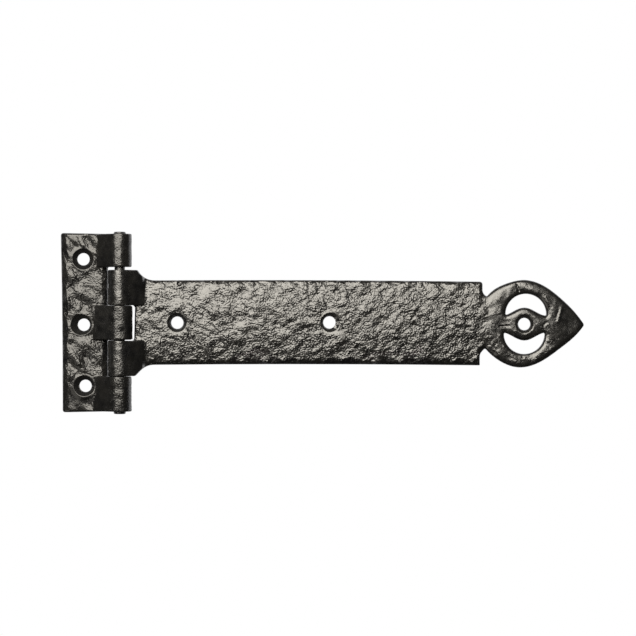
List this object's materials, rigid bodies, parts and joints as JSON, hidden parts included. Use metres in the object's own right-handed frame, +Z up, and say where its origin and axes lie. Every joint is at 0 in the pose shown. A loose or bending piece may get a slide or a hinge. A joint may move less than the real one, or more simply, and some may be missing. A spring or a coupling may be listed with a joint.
{
  "type": "strap hinge",
  "caption": "Black cast iron strap hinge: a tall jamb leaf and a long strap with a pierced spear point, swinging on a riveted pin.",
  "frame": {"origin": "on the mounting plane, straight behind the middle of the pin", "axes": "+Z up along the pin, +X along the closed strap towards its point, +Y back into the door, so the front faces -Y"},
  "size_m": [0.2253, 0.0099, 0.0782],
  "materials": {
    "black_casting": "satin black paint over a rough sand-cast surface",
    "black_pin": "satin black paint over steel, hammered at both ends"
  },
  "bodies": {
    "leaf": {"jamb_leaf": "black_casting", "hinge_pin": "black_pin"},
    "strap": {"strap_leaf": "black_casting"}
  },
  "joints": [
    {"name": "strap_swing", "type": "hinge", "parent": "leaf", "child": "strap", "pos_m": [0, -0.0048, 0], "axis": [0, 0, -1], "range_deg": [-90, 165]}
  ]
}
